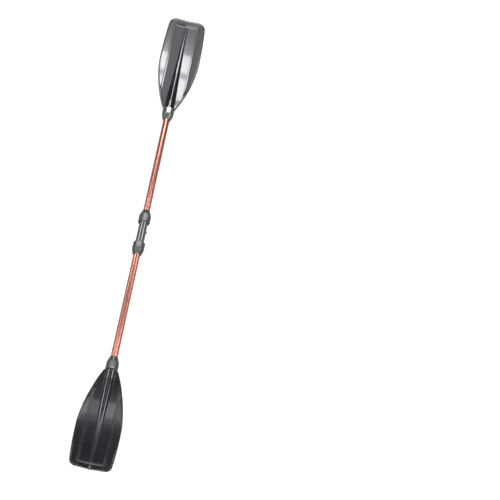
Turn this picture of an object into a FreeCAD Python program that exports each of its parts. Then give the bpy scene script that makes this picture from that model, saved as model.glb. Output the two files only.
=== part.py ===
import FreeCAD, Part
import math
import os
import re
import Sketcher

# Four-piece kayak paddle: two blades and two tube shafts, joined by a centre
# sleeve and four screw nuts that squeeze split tapered collets on the tubes.
# Millimetres. +X runs from the left blade to the right one, +Z is up and the
# power faces look up. The paddle lies on the bottom flats of its nuts, and
# the origin is on that plane, below the middle of the sleeve.

SIZES = {
    # tube shafts
    "shaft_od": 28.0,
    "shaft_wall": 1.2,
    "shaft_show": 476.0,
    # centre sleeve, and the threaded neck that the sleeve and sockets share
    "sleeve_show": 98.0,
    "sleeve_wall": 3.25,
    "neck_length": 34.0,
    "neck_wall": 3.75,
    "mouth_depth": 14.0,
    "mouth_rise": 2.65,
    "socket_depth": 32.0,
    "socket_floor": 12.0,
    "cavity_root": 11.5,
    "cavity_tip": 4.5,
    "cavity_length": 108.0,
    # clearances
    "fit_gap": 0.25,
    "part_gap": 0.3,
    "collet_gap": 0.1,
    "thread_gap": 0.35,
    # screw thread
    "thread_pitch": 4.0,
    "thread_height": 1.4,
    "thread_start": 8.0,
    "thread_run": 18.0,
    "thread_base": 2.4,
    "thread_crest": 1.0,
    "thread_root": 0.1,
    # nuts and collets
    "nut_nose": 7.65,
    "nut_wall": 4.75,
    "nut_corner": 1.5,
    "nut_grip": 31.0,
    "nut_face_cone": 4.0,
    "nut_flare": 0.4,
    "nut_flare_depth": 1.8,
    "nut_nose_wall": 2.5,
    "nut_groove_radius": 1.6,
    "nut_groove_offset": 0.5,
    "collet_grip": 8.0,
    "collet_rise": 4.0,
    "collet_land": 2.0,
    "collet_nose": 10.0,
    "collet_nose_wall": 0.8,
    "collet_slit": 2.0,
    # keys that stop the tubes from turning, and the stop between the tubes
    "key_angle": 22.0,
    "key_play": 2.0,
    "key_length": 10.0,
    "stop_offset": 14.0,
    "stop_length": 4.0,
    "stop_wall": 3.0,
    "bond_gap": 0.02,
    # snap button and its leaf spring
    "button_od": 8.0,
    "button_rim": 1.25,
    "button_rim_depth": 2.0,
    "button_stand": 3.5,
    "button_play": 0.2,
    "button_chamfer": 1.2,
    "button_offset": 6.0,
    "feather_angle": 60.0,
    "spring_width": 6.0,
    "spring_leaf": 0.5,
    "spring_reach": 44.0,
    "spring_bend": 1.2,
    "spring_nose": 1.5,
    # plugs that keep water out of the tubes
    "plug_length": 20.0,
    "plug_rib": 6.0,
    "plug_bevel": 1.0,
    "plug_groove": 1.0,
    "plug_gap": 0.05,
    "plug_setback": 4.0,
    "plug_spring_gap": 6.0,
    # blades
    "blade_length": 449.0,
    "blade_width": 174.6,
    "blade_plate": 2.6,
    "blade_setback": 1.0,
    "blade_straight": 40.0,
    "tip_rise": 65.0,
    "root_width": 56.0,
    "shoulder_share": 0.534,
    "shoulder_inset": 0.3,
    "shoulder_bulge": 10.2,
    "flank_share": 0.891,
    "flank_inset": 4.7,
    "flank_bulge": 1.6,
    "corner_share": 0.935,
    "corner_inset": 6.6,
    "corner_bulge": 7.6,
    "tip_inset": 34.0,
    "tip_bulge": 1.6,
    "rim_width": 7.0,
    "rim_thick": 4.6,
    "ridge_offset": 51.0,
    "ridge_rise": 6.0,
    "edge_drop": 4.3,
    "edge_overrun": 5.0,
    "rib_width": 9.0,
    "rib_height": 2.5,
    "rib_end": 26.0,
    "spine_side": 3.0,
    "spine_cover": 0.5,
    "spine_tip": 5.0,
    "spine_tip_height": 4.0,
    "socket_bond": 1.0,
}

AXIAL = FreeCAD.Vector(1, 0, 0)
UPWARD = FreeCAD.Vector(0, 0, 1)
ORIGIN_POINT = (-1, 1)
NUT_FLATS = 8
LEAD_TURNS = 3
SPINE_TAPER = ((0.4, 0.6325), (0.75, 0.866), (1.0, 1.0))    # shares of its run, its height
MARGIN = "1"          # how far a cutting shape runs past what it cuts
TALL_MARGIN = "40"    # how far a plan prism stands past the blade's height

doc = FreeCAD.newDocument("KayakPaddle")


def make_sheet():
    sheet = doc.addObject("Spreadsheet::Sheet", "Sizes")
    for row, (alias, size) in enumerate(SIZES.items(), start=1):
        sheet.set(f"A{row}", alias)
        sheet.set(f"B{row}", str(size))
        sheet.setAlias(f"B{row}", alias)
    doc.recompute()
    return sheet


sheet = make_sheet()


def number(text):
    """Present value of an expression of the sheet's aliases."""
    return float(sheet.evalExpression(text))


def bind(thing, prop, text):
    """Drive a property by an expression of the sheet's aliases."""
    def from_sheet(word):
        return f"Sizes.{word.group()}" if word.group() in SIZES else word.group()
    thing.setExpression(prop, re.sub("[a-z_]+", from_sheet, text))


# Radii and stations that several pieces share, as expressions of the sheet.
SHAFT_R = "(shaft_od / 2)"
TUBE_R = "(shaft_od / 2 - shaft_wall)"
BORE_R = "(shaft_od / 2 + fit_gap)"
SLEEVE_R = f"({BORE_R} + sleeve_wall)"
NECK_R = f"({BORE_R} + neck_wall)"
MOUTH_R = f"({BORE_R} + mouth_rise)"
CREST_R = f"({NECK_R} + thread_height)"
NUT_BORE_R = f"({NECK_R} + thread_gap)"
GROOVE_R = f"({CREST_R} + thread_gap)"
FLAT_R = f"({GROOVE_R} + nut_wall)"
CORNER_R = f"({FLAT_R} + nut_corner)"
NOSE_BORE_R = f"({SHAFT_R} + collet_gap + part_gap)"
COLLET_BORE_R = f"({SHAFT_R} + collet_gap)"
CONE_START = "(neck_length + collet_rise)"
CONE_END = f"({CONE_START} + collet_land + collet_nose + thread_gap)"
NUT_LENGTH = f"({CONE_END} + nut_nose)"
CENTRE_FACE = "(sleeve_show / 2)"
BLADE_FACE = f"({CENTRE_FACE} + 2 * {NUT_LENGTH} + shaft_show)"
SHAFT_OUT = f"({BLADE_FACE} + socket_depth)"
SOCKET_FLOOR = "(socket_depth + part_gap)"
BLADE_ARC_RUN = "(blade_length - blade_straight)"
BLADE_ARC_R = f"(({BLADE_ARC_RUN}^2 + tip_rise^2) / (2 * tip_rise))"


# ---------------------------------------------------------------- helpers

def origin_plane(body, role):
    return next(item for item in body.Origin.OriginFeatures if item.Role == role)


def new_body(label):
    body = doc.addObject("PartDesign::Body", label)
    body.Label = label
    return body


def body_sketch(body, name, role="XZ_Plane"):
    sketch = body.newObject("Sketcher::SketchObject", f"{body.Name}_{name}")
    sketch.AttachmentSupport = [(origin_plane(body, role), "")]
    sketch.MapMode = "FlatFace"
    return sketch


def free_sketch(name, rotation=None):
    sketch = doc.addObject("Sketcher::SketchObject", name)
    if rotation is not None:
        sketch.Placement = FreeCAD.Placement(FreeCAD.Vector(), rotation)
    return sketch


def add_driven(sketch, kind, references, text):
    index = sketch.addConstraint(Sketcher.Constraint(kind, *references, number(text)))
    bind(sketch, f"Constraints[{index}]", text)


def arc_centre(start, end, radius):
    """Centre of the anticlockwise arc under half a turn from start to end."""
    chord = end - start
    height = math.sqrt(radius ** 2 - (chord.Length / 2) ** 2)
    left = FreeCAD.Vector(-chord.y, chord.x, 0).normalize()
    return (start + end) * 0.5 + left * height


def edge_geometry(start, end, radius):
    if radius is None:
        return Part.LineSegment(start, end)
    centre = arc_centre(start, end, radius)
    first = math.atan2(start.y - centre.y, start.x - centre.x)
    last = math.atan2(end.y - centre.y, end.x - centre.x)
    circle = Part.Circle(centre, UPWARD, radius)
    return Part.ArcOfCircle(circle, first, last)


def add_loop(sketch, corners, radii=None):
    """Closed loop through corners, with arcs where radii names an edge."""
    radii = radii or {}
    places = [FreeCAD.Vector(number(x), number(y), 0) for x, y in corners]
    first = sketch.GeometryCount
    count = len(corners)
    for edge in range(count):
        radius = number(radii[edge]) if edge in radii else None
        sketch.addGeometry(edge_geometry(places[edge], places[(edge + 1) % count], radius))
    for edge in range(count):
        following = first + (edge + 1) % count
        sketch.addConstraint(Sketcher.Constraint("Coincident", first + edge, 2, following, 1))
    for edge, (x, y) in enumerate(corners):
        corner = (*ORIGIN_POINT, first + edge, 1)
        add_driven(sketch, "DistanceX", corner, x)
        add_driven(sketch, "DistanceY", corner, y)
        if edge in radii:
            add_driven(sketch, "Radius", (first + edge,), radii[edge])


def add_circle(sketch, x, y, radius):
    centre = FreeCAD.Vector(number(x), number(y), 0)
    index = sketch.addGeometry(Part.Circle(centre, UPWARD, number(radius)))
    add_driven(sketch, "DistanceX", (*ORIGIN_POINT, index, 3), x)
    add_driven(sketch, "DistanceY", (*ORIGIN_POINT, index, 3), y)
    add_driven(sketch, "Radius", (index,), radius)


def rectangle(x_low, y_low, x_high, y_high):
    return [(x_low, y_low), (x_high, y_low), (x_high, y_high), (x_low, y_high)]


def turn(body, name, corners, kind="Revolution", angle="360", lean=None,
         axis="H_Axis", role="XZ_Plane"):
    """Revolution or Groove of a loop about an axis of its own sketch.

    A part turn is centred on the sketch's plane, which leans from +Z to +Y.
    """
    sketch = body_sketch(body, f"{name}Sketch", role)
    add_loop(sketch, corners)
    if lean is not None:
        lean_turn = FreeCAD.Rotation(-AXIAL, number(lean))
        sketch.AttachmentOffset = FreeCAD.Placement(FreeCAD.Vector(), lean_turn)
        bind(sketch, "AttachmentOffset.Rotation.Angle", lean)
    feature = body.newObject(f"PartDesign::{kind}", f"{body.Name}_{name}")
    feature.Profile = sketch
    feature.ReferenceAxis = (sketch, [axis])
    feature.Midplane = angle != "360"
    bind(feature, "Angle", angle)
    doc.recompute()
    return feature


def screw(body, name, corners, height, kind, backwards=False):
    """Right-hand helical ridge or groove about the body's X axis."""
    sketch = body_sketch(body, f"{name}Sketch")
    add_loop(sketch, corners)
    feature = body.newObject(f"PartDesign::{kind}", f"{body.Name}_{name}")
    feature.Profile = sketch
    feature.ReferenceAxis = (sketch, ["H_Axis"])
    feature.Mode = 0
    feature.Reversed = backwards
    bind(feature, "Pitch", "thread_pitch")
    bind(feature, "Height", height)
    doc.recompute()
    return feature


def pocket(body, name, role, depth, corners=None, circle=None, backwards=False):
    """Pocket of a loop of corners or a circle; it must remove material."""
    before = body.Shape.Volume
    sketch = body_sketch(body, f"{name}Sketch", role)
    if corners:
        add_loop(sketch, corners)
    if circle:
        add_circle(sketch, *circle)
    feature = body.newObject("PartDesign::Pocket", f"{body.Name}_{name}")
    feature.Profile = sketch
    feature.Reversed = backwards
    bind(feature, "Length", depth)
    doc.recompute()
    if body.Shape.Volume >= before:
        raise RuntimeError(f"{feature.Name} removes nothing")
    return feature


def repeat_round_axis(body, name, feature, count):
    pattern = body.newObject("PartDesign::PolarPattern", f"{body.Name}_{name}")
    pattern.Originals = [feature]
    pattern.Axis = (next(f for f in body.Origin.OriginFeatures if f.Role == "X_Axis"), [""])
    pattern.Angle = 360
    pattern.Occurrences = count
    body.Tip = pattern
    doc.recompute()
    return pattern


def place(thing, station, turned=False):
    """Stand a piece on the paddle's axis, turned about Z if it faces -X."""
    angle = 180 if turned else 0
    rotation = FreeCAD.Rotation(UPWARD, angle)
    thing.Placement = FreeCAD.Placement(FreeCAD.Vector(), rotation)
    bind(thing, "Placement.Base.x", station)
    bind(thing, "Placement.Base.z", FLAT_R)
    return thing


# ---------------------------------------------------------------- clamp

def thread_ridge(station, direction=1):
    """Section of the neck's thread, rooted a little inside the neck."""
    middle = f"({station} + {direction} * thread_start)"
    return [
        (f"{middle} - thread_base / 2", f"{NECK_R} - thread_root"),
        (f"{middle} + thread_base / 2", f"{NECK_R} - thread_root"),
        (f"{middle} + thread_crest / 2", CREST_R),
        (f"{middle} - thread_crest / 2", CREST_R),
    ]


def make_nut(label):
    """Screw nut: eight flats and corner grooves outside, thread and cone inside."""
    body = new_body(label)
    turn(body, "Shell", [
        ("0", f"{GROOVE_R} + nut_flare"),
        ("nut_flare_depth", NUT_BORE_R),
        (CONE_START, NUT_BORE_R),
        (CONE_END, f"{COLLET_BORE_R} + collet_nose_wall + thread_gap"),
        (CONE_END, NOSE_BORE_R),
        (NUT_LENGTH, NOSE_BORE_R),
        (NUT_LENGTH, f"{NOSE_BORE_R} + nut_nose_wall"),
        ("nut_grip", CORNER_R),
        ("nut_face_cone", CORNER_R),
        ("0", f"{CORNER_R} - nut_face_cone"),
    ])
    lead_in = f"(thread_start - {LEAD_TURNS} * thread_pitch)"
    half_base = "(thread_base / 2 + thread_gap)"
    half_crest = "(thread_crest / 2 + thread_gap)"
    screw(body, "Thread", [
        (f"{lead_in} - {half_base}", f"{NECK_R} - thread_root"),
        (f"{lead_in} + {half_base}", f"{NECK_R} - thread_root"),
        (f"{lead_in} + {half_crest}", GROOVE_R),
        (f"{lead_in} - {half_crest}", GROOVE_R),
    ], f"thread_run + {LEAD_TURNS + 1} * thread_pitch", "SubtractiveHelix")
    outside_flat = rectangle(f"-{CORNER_R}", FLAT_R, CORNER_R, f"{CORNER_R} + {MARGIN}")
    flat = pocket(body, "Flat", "YZ_Plane", NUT_LENGTH, corners=outside_flat, backwards=True)
    repeat_round_axis(body, "Flats", flat, NUT_FLATS)
    groove_r = f"({CORNER_R} + nut_groove_offset)"
    between = 180 / NUT_FLATS
    corner_circle = (f"{groove_r} * sin({between} deg)", f"{groove_r} * cos({between} deg)",
                     "nut_groove_radius")
    groove = pocket(body, "Groove", "YZ_Plane", NUT_LENGTH, circle=corner_circle, backwards=True)
    repeat_round_axis(body, "Grooves", groove, NUT_FLATS)
    return body


def make_collet(label):
    """Split ring, tapered both ways, that the nut squeezes on the tube."""
    body = new_body(label)
    start = "(neck_length - collet_grip)"
    peak = CONE_START
    slope = "(mouth_rise / mouth_depth)"
    start_r = f"({MOUTH_R} - collet_grip * {slope} - part_gap)"
    peak_r = f"({start_r} + (collet_grip + collet_rise) * {slope})"
    end = f"({peak} + collet_land + collet_nose)"
    turn(body, "Ring", [
        (start, COLLET_BORE_R),
        (end, COLLET_BORE_R),
        (end, f"{COLLET_BORE_R} + collet_nose_wall"),
        (f"{peak} + collet_land", peak_r),
        (peak, peak_r),
        (start, start_r),
    ])
    slit = rectangle(f"{start} - {MARGIN}", "-collet_slit / 2",
                     f"{end} + {MARGIN}", "collet_slit / 2")
    pocket(body, "Slit", "XY_Plane", CORNER_R, corners=slit)
    return body


# ---------------------------------------------------------------- centre

def make_sleeve():
    """Centre sleeve with a threaded neck and a tapered mouth at each end."""
    body = new_body("centre_sleeve")
    tip = f"({CENTRE_FACE} + neck_length)"
    right = [
        (CENTRE_FACE, SLEEVE_R),
        (CENTRE_FACE, NECK_R),
        (tip, NECK_R),
        (tip, MOUTH_R),
        (f"({tip} - mouth_depth)", BORE_R),
    ]
    left = [(f"-{x}", radius) for x, radius in right]
    turn(body, "Tube", right + left[::-1])
    screw(body, "RightThread", thread_ridge(CENTRE_FACE), "thread_run", "AdditiveHelix")
    screw(body, "LeftThread", thread_ridge(f"-{CENTRE_FACE}", -1), "thread_run",
          "AdditiveHelix", backwards=True)
    half_button = f"(asin((button_od / 2 + part_gap) / {BORE_R}) / 1 deg)"
    turn(body, "FeatherSlot", rectangle(
        "-button_offset - button_od / 2 - part_gap", f"{BORE_R} - {MARGIN}",
        "-button_offset + button_od / 2 + part_gap", f"{SLEEVE_R} + {MARGIN}"),
        kind="Groove", angle=f"feather_angle + 2 * {half_button}",
        lean="90 + feather_angle / 2")
    return place(body, "0")


def make_stop_collar():
    """Collar bonded in the sleeve: both tubes butt on it, one is keyed to it."""
    body = new_body("stop_collar")
    face = "(stop_offset + stop_length)"
    radius = f"({BORE_R} - bond_gap)"
    turn(body, "Ring", rectangle("stop_offset", f"{BORE_R} - stop_wall", face, radius))
    turn(body, "Key", rectangle(
        f"{face} - {MARGIN}", f"{TUBE_R} - part_gap",
        f"{face} + key_length", radius), angle="key_angle")
    return place(body, "0")


# ---------------------------------------------------------------- shafts

def make_shaft(label, inner_end, turned):
    """Tube with a key notch at its blade end."""
    body = new_body(label)
    turn(body, "Tube", rectangle(inner_end, TUBE_R, SHAFT_OUT, SHAFT_R))
    turn(body, "BladeNotch", rectangle(
        f"{SHAFT_OUT} - key_length - part_gap", f"{TUBE_R} - {MARGIN}",
        f"{SHAFT_OUT} + {MARGIN}", f"{SHAFT_R} + {MARGIN}"),
        kind="Groove", angle="key_angle + key_play")
    return place(body, "0", turned)


def make_left_shaft():
    """The left tube passes the middle and carries the snap button."""
    body = make_shaft("left_shaft", "part_gap - stop_offset", turned=True)
    hole = ("button_offset", "0", "button_od / 2 + button_play")
    pocket(body, "ButtonHole", "XZ_Plane", "shaft_od", circle=hole, backwards=True)
    return body


def make_right_shaft():
    """The right tube is keyed to the stop collar."""
    inner_end = "(stop_offset + stop_length + part_gap)"
    body = make_shaft("right_shaft", inner_end, turned=False)
    turn(body, "StopNotch", rectangle(
        f"{inner_end} - {MARGIN}", f"{TUBE_R} - {MARGIN}",
        f"{inner_end} + key_length", f"{SHAFT_R} + {MARGIN}"),
        kind="Groove", angle="key_angle + key_play")
    return body


def make_plug(label, station, turned):
    """Ribbed plug pressed in a tube."""
    body = new_body(label)
    radius = f"({TUBE_R} - plug_gap)"
    groove = f"({radius} - plug_groove)"
    turn(body, "Core", [
        ("0", "0"), ("plug_length", "0"), ("plug_length", radius),
        ("plug_length - plug_rib", radius),
        ("plug_length - plug_rib - plug_bevel", groove),
        ("plug_rib + plug_bevel", groove), ("plug_rib", radius), ("0", radius),
    ])
    return place(body, station, turned)


# ---------------------------------------------------------------- button

BUTTON_SEAT = f"(sqrt({TUBE_R}^2 - (button_od / 2 + button_rim)^2) - part_gap)"
BUTTON_FOOT = f"({BUTTON_SEAT} - button_rim_depth)"
BUTTON_TOP = f"({SLEEVE_R} + button_stand)"


def make_button():
    """Button on a rim that stays inside the tube; it points along +Y."""
    body = new_body("snap_button")
    radius = "button_od / 2"
    turn(body, "Pin", [
        ("0", BUTTON_FOOT), (f"{radius} + button_rim", BUTTON_FOOT),
        (f"{radius} + button_rim", BUTTON_SEAT), (radius, BUTTON_SEAT),
        (radius, f"{BUTTON_TOP} - button_chamfer"),
        (f"{radius} - button_chamfer", BUTTON_TOP),
        ("0", BUTTON_TOP),
    ], axis="V_Axis", role="XY_Plane")
    return place(body, "-button_offset")


def make_button_spring():
    """V-shaped leaf: one arm under the button, the other on the far wall."""
    body = new_body("button_spring")
    pad = "(button_od / 2 + button_rim)"
    upper = f"({BUTTON_FOOT} - bond_gap)"
    wall = f"(sqrt({TUBE_R}^2 - (spring_width / 2)^2) - bond_gap)"
    reach = "-spring_reach"
    sketch = body_sketch(body, "LeafSketch", "XY_Plane")
    add_loop(sketch, [
        (pad, upper), (f"-{pad}", upper), (reach, "spring_bend"),
        (f"{reach} - spring_nose", "0"),
        (reach, "-spring_bend"), (f"-{pad}", f"-{wall}"), (pad, f"-{wall}"),
        (pad, f"-{wall} + spring_leaf"), (f"-{pad}", f"-{wall} + spring_leaf"),
        (reach, "-spring_bend + spring_leaf"),
        (f"{reach} - spring_nose + spring_leaf", "0"),
        (reach, "spring_bend - spring_leaf"), (f"-{pad}", f"{upper} - spring_leaf"),
        (pad, f"{upper} - spring_leaf"),
    ])
    leaf = body.newObject("PartDesign::Pad", "button_spring_Leaf")
    leaf.Profile = sketch
    leaf.Midplane = True
    bind(leaf, "Length", "spring_width")
    doc.recompute()
    return place(body, "-button_offset")


# ---------------------------------------------------------------- blades

def bulge_radius(chord_x, chord_y, bulge):
    return f"((({chord_x})^2 + ({chord_y})^2) / (8 * {bulge}) + {bulge} / 2)"


def blade_outline(sketch):
    """Drop-shaped outline, widest past the middle, with a blunt round tip."""
    half = "blade_width / 2"
    points = [
        ("blade_setback", "root_width / 2"),
        ("blade_length * shoulder_share", f"{half} - shoulder_inset"),
        ("blade_length * flank_share", f"{half} - flank_inset"),
        ("blade_length * corner_share", f"{half} - corner_inset"),
        ("blade_length - tip_bulge", f"{half} - tip_inset"),
    ]
    lower = [(x, f"-({y})") for x, y in points]
    corners = lower + points[::-1]
    shoulder = bulge_radius("blade_length * shoulder_share - blade_setback",
                            f"{half} - shoulder_inset - root_width / 2", "shoulder_bulge")
    flank = bulge_radius("blade_length * (flank_share - shoulder_share)",
                         "flank_inset - shoulder_inset", "flank_bulge")
    corner = bulge_radius("blade_length * (1 - corner_share) - tip_bulge",
                          "tip_inset - corner_inset", "corner_bulge")
    tip = bulge_radius("0", f"2 * ({half} - tip_inset)", "tip_bulge")
    radii = {0: shoulder, 1: flank, 3: corner, 4: tip, 5: corner, 7: flank, 8: shoulder}
    add_loop(sketch, corners, radii)


def section_band(sketch, low, high):
    """Shallow M across the blade, from low to high about its middle surface."""
    edge = "(blade_width / 2 + edge_overrun)"
    edge_z = "(ridge_rise - edge_drop)"
    line = [(f"-{edge}", edge_z), ("-ridge_offset", "ridge_rise"), ("0", "0"),
            ("ridge_offset", "ridge_rise"), (edge, edge_z)]
    lower = [(y, f"{z} + {low}") for y, z in line]
    upper = [(y, f"{z} + {high}") for y, z in line]
    add_loop(sketch, lower + upper[::-1])


# Turn that stands a sketch across the blade, as a rotation and as an expression.
ACROSS = FreeCAD.Rotation(FreeCAD.Vector(1, 1, 1), 120)
ACROSS_TEXT = "rotation(vector(1; 1; 1); 120 deg)"


def curved_layer(name, low, high, planform):
    """Layer of the blade: straight at the root, then curved up to the tip."""
    straight_section = free_sketch(f"{name}RootSketch", ACROSS)
    section_band(straight_section, low, high)
    root = doc.addObject("Part::Extrusion", f"{name}Root")
    root.Base = straight_section
    root.DirMode = "Custom"
    root.Dir = AXIAL
    root.Solid = True
    bind(root, "LengthFwd", "blade_straight")
    arc_section = free_sketch(f"{name}ArcSketch", ACROSS)
    bind(arc_section, "Placement.Base.x", "blade_straight")
    section_band(arc_section, low, high)
    arc = doc.addObject("Part::Revolution", f"{name}Arc")
    arc.Source = arc_section
    arc.Axis = FreeCAD.Vector(0, -1, 0)
    arc.Solid = True
    bind(arc, "Base.x", "blade_straight")
    bind(arc, "Base.z", BLADE_ARC_R)
    bind(arc, "Angle", f"asin({BLADE_ARC_RUN} / {BLADE_ARC_R}) / 1 deg + {MARGIN}")
    whole = doc.addObject("Part::Fuse", f"{name}Whole")
    whole.Base = root
    whole.Tool = arc
    layer = doc.addObject("Part::Common", f"{name}Layer")
    layer.Base = whole
    layer.Tool = planform
    doc.recompute()
    return layer


def prism(name, source):
    """Upright prism of a plan outline, tall enough for the whole blade."""
    solid = doc.addObject("Part::Extrusion", name)
    solid.Base = source
    solid.DirMode = "Custom"
    solid.Dir = UPWARD
    solid.Solid = True
    bind(solid, "LengthFwd", f"tip_rise + {TALL_MARGIN}")
    bind(solid, "LengthRev", TALL_MARGIN)
    return solid


def make_planforms(name):
    outline = free_sketch(f"{name}Outline")
    blade_outline(outline)
    whole = prism(f"{name}Plan", outline)
    inset = doc.addObject("Part::Offset2D", f"{name}Inset")
    inset.Source = outline
    bind(inset, "Value", "-rim_width")
    ring = doc.addObject("Part::Cut", f"{name}RimPlan")
    ring.Base = whole
    ring.Tool = prism(f"{name}InsetPlan", inset)
    ribs = free_sketch(f"{name}RibOutline")
    inner = "(ridge_offset - rib_width / 2)"
    outer = "(ridge_offset + rib_width / 2)"
    end = "(blade_length - rib_end)"
    start = "(blade_straight + rim_width)"
    add_loop(ribs, [
        (start, f"-{outer}"), (end, f"-{outer}"), (end, outer), (start, outer),
        (start, inner), (f"{end} - rib_width", inner),
        (f"{end} - rib_width", f"-{inner}"), (start, f"-{inner}"),
    ])
    rib_plan = doc.addObject("Part::Common", f"{name}RibPlan")
    rib_plan.Base = whole
    rib_plan.Tool = prism(f"{name}RibPrism", ribs)
    doc.recompute()
    return whole, ring, rib_plan


def make_spine(name):
    """Tapered spine from the socket to the cross rib, along the blade's curve."""
    run = "(blade_length - rib_end - rib_width / 2 - blade_straight)"
    width_root = f"({NECK_R} + spine_side)"
    height_root = f"({NECK_R} + spine_cover)"
    stations = [
        ("blade_setback", width_root, height_root),
        ("blade_straight", width_root, height_root),
    ]
    for share, lowered in SPINE_TAPER:
        width = f"({width_root} + (spine_tip - {width_root}) * {share})"
        height = f"({height_root} + (spine_tip_height - {height_root}) * {lowered})"
        stations.append((f"blade_straight + {run} * {share}", width, height))
    sections = []
    for index, (station, width, height) in enumerate(stations):
        ellipse = doc.addObject("Part::Ellipse", f"{name}Spine{index}")
        lean = f"(asin(max(({station}) - blade_straight; 0) / {BLADE_ARC_R}) / 1 deg)"
        bind(ellipse, "MajorRadius", width)
        bind(ellipse, "MinorRadius", height)
        rise = f"{BLADE_ARC_R} * (1 - cos({lean} * 1 deg))"
        leaning = f"rotation(vector(0; -1; 0); {lean} * 1 deg)"
        bind(ellipse, "Placement",
             f"placement(vector({station}; 0; {rise}); {leaning} * {ACROSS_TEXT})")
        sections.append(ellipse)
    loft = doc.addObject("Part::Loft", f"{name}Spine")
    loft.Sections = sections
    loft.Solid = True
    loft.Ruled = True
    doc.recompute()
    return loft


def cavity_radius(beyond_floor):
    """Radius of the tapered cavity at a distance past the socket's floor."""
    return f"(cavity_root - (cavity_root - cavity_tip) * {beyond_floor} / cavity_length)"


def make_socket(name):
    """Threaded socket for the tube, with a tapered mouth and a key inside."""
    body = new_body(f"{name}Socket")
    back = f"({SOCKET_FLOOR} + socket_floor)"
    turn(body, "Cup", [
        ("-neck_length", MOUTH_R), ("mouth_depth - neck_length", BORE_R),
        (SOCKET_FLOOR, BORE_R), (SOCKET_FLOOR, "cavity_root"),
        (back, cavity_radius("socket_floor")), (back, NECK_R),
        ("-neck_length", NECK_R),
    ])
    turn(body, "Key", rectangle(
        "socket_depth - key_length", f"{TUBE_R} - part_gap",
        f"{SOCKET_FLOOR} + {MARGIN}", f"{BORE_R} + {MARGIN}"), angle="key_angle")
    screw(body, "Thread", thread_ridge("0", -1), "thread_run", "AdditiveHelix",
          backwards=True)
    return body


def make_core(name):
    """Room for the socket, and the tapered cavity in the spine beyond it."""
    body = new_body(f"{name}Core")
    overlap = "(socket_floor / 3)"
    end = f"({SOCKET_FLOOR} + {overlap})"
    room_r = f"({NECK_R} - socket_bond)"
    cavity_end = f"({SOCKET_FLOOR} + cavity_length)"
    turn(body, "Room", [
        (f"-{MARGIN}", "0"), (cavity_end, "0"), (cavity_end, "cavity_tip"),
        (end, cavity_radius(overlap)), (end, room_r), (f"-{MARGIN}", room_r),
    ])
    return body


def make_blade(label, turned):
    name = label.title().replace("_", "")
    whole, ring, rib_plan = make_planforms(name)
    plate = curved_layer(f"{name}Plate", "-blade_plate / 2", "blade_plate / 2", whole)
    rim = curved_layer(f"{name}Rim", "-rim_thick / 2", "rim_thick / 2", ring)
    ribs = curved_layer(f"{name}Ribs", "0", "blade_plate / 2 + rib_height", rib_plan)
    skin = doc.addObject("Part::MultiFuse", f"{name}Skin")
    skin.Shapes = [plate, rim, ribs, make_spine(name)]
    hollow = doc.addObject("Part::Cut", f"{name}Hollow")
    hollow.Base = skin
    hollow.Tool = make_core(name)
    blade = doc.addObject("Part::Fuse", name)
    blade.Base = hollow
    blade.Tool = make_socket(name)
    blade.Label = label
    place(blade, f"-{BLADE_FACE}" if turned else BLADE_FACE, turned)
    doc.recompute()
    return blade


# ---------------------------------------------------------------- assembly

def make_clamps():
    """A nut and a collet on each end of the sleeve and on each blade."""
    clamps = {
        "left_centre": (f"-{CENTRE_FACE}", True),
        "right_centre": (CENTRE_FACE, False),
        "left_blade": (f"-{BLADE_FACE}", False),
        "right_blade": (BLADE_FACE, True),
    }
    pieces = []
    for name, (station, turned) in clamps.items():
        pieces.append(place(make_nut(f"{name}_nut"), station, turned))
        pieces.append(place(make_collet(f"{name}_collet"), station, turned))
    return pieces


def make_plugs():
    outer = f"({SHAFT_OUT} - key_length - plug_setback - plug_length)"
    left_inner = "(button_offset + spring_reach + plug_spring_gap)"
    right_inner = "(stop_offset + stop_length + key_length + plug_setback)"
    return [
        make_plug("left_inner_plug", f"-{left_inner}", True),
        make_plug("right_inner_plug", right_inner, False),
        make_plug("left_outer_plug", f"-{outer}", True),
        make_plug("right_outer_plug", outer, False),
    ]


def check_document():
    for item in doc.Objects:
        if "Invalid" in item.State or "Error" in item.State:
            raise RuntimeError(f"{item.Name} failed: {item.State}")


def export(pieces):
    os.makedirs("parts", exist_ok=True)
    for piece in pieces:
        if piece.Shape.isNull() or not piece.Shape.isValid():
            raise RuntimeError(f"{piece.Label} has no valid shape")
        piece.Shape.exportStep(f"parts/{piece.Label}.step")
        box = piece.Shape.BoundBox
        print(f"{piece.Label}: {len(piece.Shape.Solids)} solid, {piece.Shape.Volume:.0f} mm3, "
              f"x {box.XMin:.1f}..{box.XMax:.1f}")


pieces = [make_sleeve(), make_stop_collar(), make_left_shaft(), make_right_shaft()]
pieces += [make_button(), make_button_spring()]
pieces += make_plugs() + make_clamps()
pieces += [make_blade("left_blade", True), make_blade("right_blade", False)]
doc.recompute()
check_document()
export(pieces)
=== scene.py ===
import math

import bmesh
import bpy
import numpy as np
from mathutils import Matrix, Vector


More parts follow.
